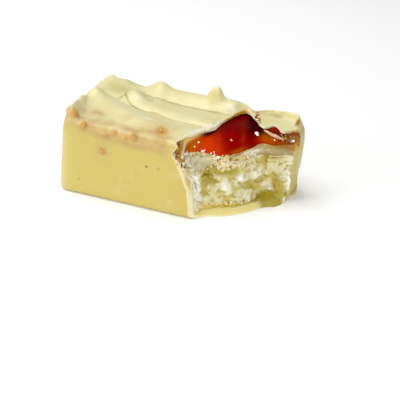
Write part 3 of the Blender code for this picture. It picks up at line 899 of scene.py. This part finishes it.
def make_cream():
    """The cream: a smooth lip at the right of the bite, and rough hanging lumps at the left."""
    bottom, top = CREAM_LOW.z - 0.1, JAM_LOW.z
    grid = filling_grid(bottom, top, 0.22)
    share, z = grid_places(grid)
    rough = 1 - ease(0.52, 0.64, share)
    out = rough * (0.35 * noise_at(grid, 1.8, 21) + 0.28 * noise_at(grid, 0.8, 22))
    lip = span(0.62, 0.68, 0.84, 0.88, share)
    arch = np.sin(np.pi * np.clip((z - bottom) / (top - bottom), 0, 1)) ** 0.7
    out += lip * (0.7 * arch + 0.2 * noise_at(grid, 4.0, 23))
    grid = grid - grid_normals(grid) * out[..., None]
    layer = boolean(layer_block("cream_layer", bottom, top), bite_cutter("cream_bite", grid))
    hanging = [(on_bite(at, z, 0.2), radius, (1, 1, 0.8)) for at, z, radius in CREAM_LUMPS]
    boolean(layer, voxel_union(lumps("cream_lumps", hanging, 0.35, 3), FILLING_VOXEL, 2), "UNION")
    points = coordinates(layer)
    z = points[:, 2]
    _, _, share = locate(points, grid)
    set_attributes(layer, left=ease(0.40, 0.32, share),
                   middle=span(0.32, 0.42, 0.57, 0.64, share),
                   # lip: a painted highlight along the cream's lip.
                   lip=patches(CREAM_LIP_HIGHLIGHTS, share, z), amber=patches(CREAM_STAINS, share, z))
    return layer


def jam_grid():
    """The jam's surface at the bite: from the cream's line up to the roof's, with its swells."""
    low, high = smooth_line(BITE_CREAM, BITE_COUNT), smooth_line(BITE_ROOF, BITE_COUNT)
    share = np.linspace(0, 1, BITE_COUNT)

    def level(plan, z):
        return np.column_stack([plan, np.full(BITE_COUNT, z)])

    bottom = JAM_LOW.z - 0.3
    apex = np.exp(-((share - 0.60) / 0.12) ** 2)
    top = THIN_ROOF_UNDERSIDE - 0.2 - 0.9 * apex
    slope = low - high
    slope /= np.linalg.norm(slope, axis=1)[:, None]
    grid = [level(low, z) for z in (bottom - OUTSIDE, bottom - 0.4)]
    for s in np.linspace(0, 1.0, JAM_ROWS):
        plan = low + (high - low) * s
        z = bottom + (top - bottom) * np.sin(np.pi * s / 2) ** 0.8
        swell = patches(JAM_SWELLS, share, s) * np.sin(np.pi * s)
        plan = plan + slope * (0.6 * swell)[:, None]
        grid.append(np.column_stack([plan, np.minimum(z + swell, THIN_ROOF_UNDERSIDE + 0.2)]))
    beyond = high + (high - low) * 0.15
    grid += [level(beyond, z) for z in (THIN_ROOF_UNDERSIDE + 0.4, THIN_ROOF_UNDERSIDE + OUTSIDE)]
    grid = np.array(grid)
    wavy = 0.16 * noise_at(grid, 2.4, 31) + 0.05 * noise_at(grid, 0.9, 32)
    wavy[:3] = 0
    wavy[-3:] = 0
    grid[..., 2] += wavy
    return grid


def make_jam():
    grid = jam_grid()
    layer = boolean(layer_block("jam_layer", JAM_LOW.z - 0.35, THIN_ROOF_UNDERSIDE + 0.1,
                                roof_radius=1.0), bite_cutter("jam_bite", grid))
    centre, radii = JAM_DOME
    dome = voxel_union(lumps("jam_dome", [(centre, 1.0, radii)], 0.10, 4), FILLING_VOXEL, 3)
    boolean(layer, dome, "UNION")
    points = coordinates(layer)
    _, _, share = locate(points, grid)
    set_attributes(layer, **{name: patches(places, share, points[:, 2])
                             for name, places in JAM_TINTS.items()})
    return layer


# ---- Loose bits ----
def on_bite(share, z, depth):
    """The point at a depth behind the bite, at a share along it and a height."""
    grid = bite_grid((z - 0.2, z, z + 0.2))
    column = int(round(share * (BITE_COUNT - 1)))
    return grid[1, column] + grid_normals(grid)[1, column] * depth


def scattered(rng, areas, sizes):
    """Bits over areas of the bite, fewer towards the edge of each area."""
    found = []
    for share_low, share_high, low, high, count in areas:
        for _ in range(count):
            radius = rng.uniform(*sizes)
            share, z = np.array([share_low + share_high, low + high]) / 2 + THINNING * np.clip(
                rng.normal(size=2), -2.0, 2.0) * (share_high - share_low, high - low)
            found.append((on_bite(share, z, SINK * radius), radius, rng.uniform(0.6, 1.3, 3)))
    return found


def make_crisps():
    """Toasted crisps that show bare, in the coating and along its broken edges."""
    rng = np.random.default_rng(SEED + 2)
    bits = [(settled(place), 0.55, (1, 1, 0.9)) for place in BARE_CRISPS]
    bits += scattered(rng, CRISP_AREAS, (0.18, 0.50))
    for x, y, z, count, spread in CRISP_HEAPS:
        for _ in range(count):
            place = np.array((x, y, z)) + rng.normal(0, 1, 3) * spread
            bits.append((settled(place), rng.uniform(0.18, 0.48), rng.uniform(0.5, 1.3, 3)))
    return set_tones(lumps("crisps", bits, 0.8, turned=True), len(bits), len(BARE_CRISPS),
                     DARK_CRISPS_FROM)


def make_crumbs():
    """Crumbs of the cake over the cream and along the foot of the bite."""
    rng = np.random.default_rng(SEED + 3)
    bits = scattered(rng, CRUMB_AREAS, (0.15, 0.62))
    return set_tones(lumps("crumbs", bits, 0.8, turned=True), len(bits))


def make_pale_crumbs():
    """Knots of fluffy crumbs, and shreds of the torn roof."""
    rng = np.random.default_rng(SEED + 4)
    bits = []
    for share, z, count in CRUMB_KNOTS:
        for _ in range(count):
            place = on_bite(share + rng.normal(0, 0.012), z + rng.normal(0, 0.45),
                            rng.uniform(-0.5, 0.1))
            bits.append((place, rng.uniform(0.2, 0.5), rng.uniform(0.5, 1.3, 3)))
    torn_edge = smooth_line(BITE_ROOF, SHRED_EDGE_COUNT)
    for _ in range(SHREDS):
        k = int(rng.uniform(*SHRED_SHARES) * (SHRED_EDGE_COUNT - 1))
        inward = torn_edge[k] + np.array((-0.75, 0.65)) * rng.uniform(-0.1, 1.6)
        place = (*inward, BODY_HEIGHT + rng.uniform(0.0, 0.35))
        bits.append((place, rng.uniform(0.2, 0.5), (rng.uniform(1.2, 2.4), 0.5, 0.5)))
    return lumps("pale_crumbs", bits, 0.6, turned=True)


def make_glint_flecks():
    """Small pale flecks lying in the jam, as painted highlights for its glints."""
    bits = [(np.array(place) + np.array(INTO_JAM) * radius, radius, (1.3, 0.9, 1.0))
            for *place, radius in GLINT_FLECKS]
    return lumps("jam_glint_flecks", bits, 0.9, 3)


def make_smear():
    """A thin streak of cream over the jam."""
    line = smooth_line(SMEAR, 26)
    width = np.sin(np.pi * np.linspace(0.12, 0.88, len(line))) ** 0.5
    width *= 1 + 0.4 * noise_at(line, 2.0, 61)
    line[:, 2] += 0.25 * noise_at(line, 2.4, 62)
    beads = [(p, SMEAR_RADIUS * w, (1.0, 0.8, 0.9)) for p, w in zip(line, width)]
    return voxel_union(lumps("cream_smear", beads, 0.15, 3), SMEAR_VOXEL, 6)


# ---- Materials ----
# Each look: its colour and roughness, the colours laid over it, its bumps (size and depth in
# mm), and the shader's numbers in NUMBERS. Each colour laid over lies where the product of what
# follows it says: an attribute, by its name; a strength, as a number; or an attribute or the
# size in mm of a noise, with where it starts and is full, and in some its least and its most.
LOOKS = {
    "coating_look": ((196, 179, 96), 0.36, (
        # Paler on the upward faces: a whiter coat there, and partly painted light where the top is
        # lit.
        ((211, 204, 155), "top"),
        ((192, 170, 90), (14.0, 0.45, 0.75), 0.35),
        ((214, 206, 160), (5.0, 0.55, 0.75), 0.25),
        # Painted highlights and painted light.
        ((240, 236, 204), "light"),
        ((184, 177, 118), "shadow"),
        # Painted shade in the roof's folds and along the right rim.
        ((140, 124, 60), "crease", 0.75),
        # Broken edges are paler; on the coating's floor at the bite this is painted light.
        ((238, 230, 192), "cut", 0.85),
        # Painted shade on the broken end wall.
        ((176, 162, 96), "end_cut", 0.9),
        ((214, 212, 190), "torn", 0.8),
        # Painted shade below the toasted band.
        ((178, 146, 84), "under", 0.75),
        ((190, 162, 106), "halo", 0.9),
        ((176, 142, 84), "halo", (2.8, 0.40, 0.66), 0.7),
        ((184, 130, 50), "core", (1.6, 0.35, 0.65, 0.65, 1.0), 0.95),
        ((200, 150, 24), "amber", 0.95),
        # Painted light on the coating's floor at the bite.
        ((226, 214, 142), "ledge"),
        # Painted shade on the right part of the coating's floor.
        ((160, 142, 26), "stain", 0.9),
        ((146, 98, 20), "burnt"),
        ((110, 78, 40), "speck"),
    ), ((2.2, 0.08), (0.5, 0.03)), (0.25, 0.0015, 0.4)),
    "sponge_look": ((200, 187, 108), 0.85, (
        # Painted shade in the crumb's hollows.
        ((178, 160, 58), "hollow"),
        ((140, 120, 16), ("hollow", 0.55, 1.0)),
        ((180, 164, 70), (3.4, 0.50, 0.66), 0.5),
        ((214, 205, 140), (0.9, 0.55, 0.72), 0.4),
        # White crumb, partly painted light on proud bits.
        ((247, 246, 240), "white"),
        ((236, 232, 208), (0.55, 0.60, 0.72), 0.35),
        ((168, 152, 72), (0.7, 0.60, 0.72), 0.30),
        # Mostly painted shade, and the olive crumb along the foot.
        ((156, 136, 14), "foot"),
        ((214, 172, 14), "gold"),
    ), ((0.5, 0.12),), (0.3, 0.001, 0.3)),
    "cream_look": ((162, 147, 92), 0.38, (
        ((194, 186, 148), "left"),
        ((212, 190, 112), "middle"),
        ((156, 148, 108), (3.2, 0.48, 0.66), 0.6),
        ((220, 206, 160), (1.6, 0.56, 0.72), 0.5),
        # Painted highlight on the cream's lip.
        ((240, 234, 210), "lip", 0.85),
        ((160, 110, 8), "amber"),
    ), ((1.2, 0.10),), (0.2, 0.001)),
    "jam_look": ((130, 0, 0), 0.06, (
        ((190, 48, 0), "orange"),
        ((186, 90, 4), "amber"),
        ((112, 34, 0), "brown"),
        # Deep jam, and painted shadow under the roof's edge.
        ((46, 0, 0), "deep"),
        ((166, 12, 0), (3.0, 0.55, 0.75), 0.2),
        # Painted soft highlight.
        ((186, 44, 20), "bright"),
        ((160, 104, 22), "crumb"),
        ((206, 172, 98), "rind"),
        ((222, 206, 164), "ivory", 0.9),
    ), ((1.6, 0.06),), (0.0, 0.05, 0.02)),
    "crisps_look": ((200, 150, 62), 0.35, (
        ((184, 128, 34), ("tone", 0.25, 0.45)),
        ((118, 60, 4), ("tone", 0.60, 0.72)),
        ((222, 190, 110), (0.7, 0.55, 0.72), 0.35),
    ), ((0.4, 0.10),), (0.2, 0.0008)),
    "crumbs_look": ((236, 224, 174), 0.55, (
        ((222, 202, 124), ("tone", 0.35, 0.60)),
        ((160, 116, 44), ("tone", 0.86, 0.92)),
        ((208, 192, 112), (0.5, 0.5, 0.7), 0.3),
    ), ((0.3, 0.08),), ()),
    "pale_look": ((232, 224, 198), 0.5, (((224, 200, 156), (1.1, 0.5, 0.7), 0.6),),
                  ((0.4, 0.06),), (0.2, 0.0008)),
    "smear_look": ((190, 156, 116), 0.40, (((226, 208, 188), (1.1, 0.45, 0.65), 0.7),),
                   ((0.8, 0.04),), (0.2, 0.0008)),
    # Painted highlights: the jam's glints.
    "glint_flecks_look": ((255, 240, 228), 0.25, (((255, 214, 196), (0.6, 0.55, 0.75), 0.5),),
                    ((0.4, 0.03),), (0.3, 0.0005)),
    "floor_white": ((252, 252, 252), 0.6, (), (), ()),
}
NUMBERS = ("Subsurface Weight", "Subsurface Scale", "Specular IOR Level")


def linear(colour):
    """A colour given as sRGB values from 0 to 255, as the shader wants it."""
    shares = [c / 255 for c in colour]
    return (*(c / 12.92 if c <= 0.04045 else ((c + 0.055) / 1.055) ** 2.4 for c in shares), 1.0)


class Nodes:
    """The shader nodes of a material or the world."""

    def __init__(self, owner):
        owner.use_nodes = True
        self.tree = owner.node_tree

    def fill(self, node, inputs):
        """Gives each named input of a node its number, colour or link."""
        for key, value in inputs.items():
            if isinstance(value, bpy.types.NodeSocket):
                self.tree.links.new(value, node.inputs[key])
            else:
                node.inputs[key].default_value = value

    def add(self, kind, output, inputs=None, **settings):
        """Adds a node and gives back one of its outputs."""
        node = self.tree.nodes.new("ShaderNode" + kind)
        for key, value in settings.items():
            setattr(node, key, value)
        self.fill(node, inputs or {})
        return node.outputs[output]

    def noise(self, size):
        """Noise with features of the given size in millimetres."""
        return self.add("TexNoise", "Fac", {"Vector": self.add("TexCoord", "Object"),
                                            "Scale": 1 / (size * MM), "Detail": 3.0,
                                            "Roughness": 0.5})

    def where(self, source):
        """What one of the entries that say where a colour lies comes to."""
        if isinstance(source, str):
            return self.add("Attribute", "Fac", attribute_name=source)
        if isinstance(source, float):
            return source
        of, *ends = source
        value = self.where(of) if isinstance(of, str) else self.noise(of)
        keys = ("From Min", "From Max", "To Min", "To Max")
        return self.add("MapRange", "Result", {"Value": value, **dict(zip(keys, ends))},
                        interpolation_type="SMOOTHSTEP")


def make_look(name):
    """The material of one entry in LOOKS."""
    base, roughness, layers, bumps, numbers = LOOKS[name]
    look = bpy.data.materials.new(name)
    nodes = Nodes(look)
    colour = linear(base)
    for laid_over, *sources in layers:
        amount, *others = [nodes.where(source) for source in sources]
        for other in others:
            amount = nodes.add("Math", "Value", {0: amount, 1: other}, operation="MULTIPLY",
                               use_clamp=True)
        colour = nodes.add("Mix", "Result", {"Factor": amount, "A": colour,
                                             "B": linear(laid_over)}, data_type="RGBA")
    normal = {}
    for size, depth in bumps:
        bump = {"Height": nodes.noise(size), "Distance": depth * MM, **normal}
        normal = {"Normal": nodes.add("Bump", "Normal", bump)}
    nodes.fill(nodes.tree.nodes["Principled BSDF"],
               {"Base Color": colour, "Roughness": roughness, **normal,
                "Subsurface Radius": SOFT_LIGHT_REACH, **dict(zip(NUMBERS, numbers))})
    return look


# ---- Light, floor and camera ----
def make_camera():
    """The camera, turned about the middle of the base and then moved back."""
    data = bpy.data.cameras.new("camera")
    data.sensor_width = SENSOR
    data.lens = FOCAL_PIXELS / PHOTO_SIDE * SENSOR
    data.clip_start = 0.01
    camera = new_object("camera", data)
    aside, above = CAMERA_AIM_OFFSET
    camera.matrix_world = (Matrix.Rotation(CAMERA_AZIMUTH, 4, "Z")
                           @ Matrix.Rotation(math.pi / 2 - CAMERA_ELEVATION, 4, "X")
                           @ Matrix.Rotation(CAMERA_ROLL, 4, "Z")
                           @ Matrix.Translation((-aside, -above, CAMERA_DISTANCE)))
    bpy.context.scene.camera = camera


def make_world():
    """Pale walls all round that fall off towards a dimmer ceiling."""
    world = bpy.data.worlds.new("studio")
    nodes = Nodes(world)
    height = nodes.add("SeparateXYZ", "Z", {"Vector": nodes.add("TexCoord", "Generated")})
    grey = nodes.add("MapRange", "Result", {"Value": height, "From Min": WALL_TOP,
                                            "To Min": WALL, "To Max": CEILING})
    nodes.fill(nodes.tree.nodes["Background"], {"Color": grey})
    bpy.context.scene.world = world


def make_stage():
    make_world()
    corners = [(-1, -1), (1, -1), (1, 1), (-1, 1)]
    floor = new_mesh("floor", [(x * FLOOR_REACH, y * FLOOR_REACH, 0) for x, y in corners],
                     [(0, 1, 2, 3)])
    floor.data.materials.append(make_look("floor_white"))
    for name, (place, size, watts) in LIGHTS.items():
        data = bpy.data.lights.new(name, "AREA")
        data.size = size
        data.energy = watts
        light = new_object(name, data)
        light.location = place
        light.rotation_euler = (-Vector(place)).to_track_quat("-Z", "Y").to_euler()
    bpy.context.scene.view_settings.view_transform = "Standard"


# ---- The cake ----
make_camera()
make_stage()

# Each piece: what makes it, its look, its slot, the angle of its sharp edges in degrees, and
# the nodes that it replaces.
pieces = (
    (make_coating, "coating_look", "coating", 50, ["coating"]),
    (make_sponge, "sponge_look", "sponge", 80, ["sponge"]),
    (make_cream, "cream_look", "cream", 50, ["cream"]),
    (make_jam, "jam_look", "jam", 50, ["jam"]),
    (make_crisps, "crisps_look", "coating", 80, []),
    (make_crumbs, "crumbs_look", "sponge", 80, []),
    (make_pale_crumbs, "pale_look", "sponge", 80, []),
    (make_smear, "smear_look", "cream", 80, []),
    (make_glint_flecks, "glint_flecks_look", "jam", 80, []),
)
for make, look, slot, angle, replaces in pieces:
    into_scene(make(), make_look(look), angle, replaces)
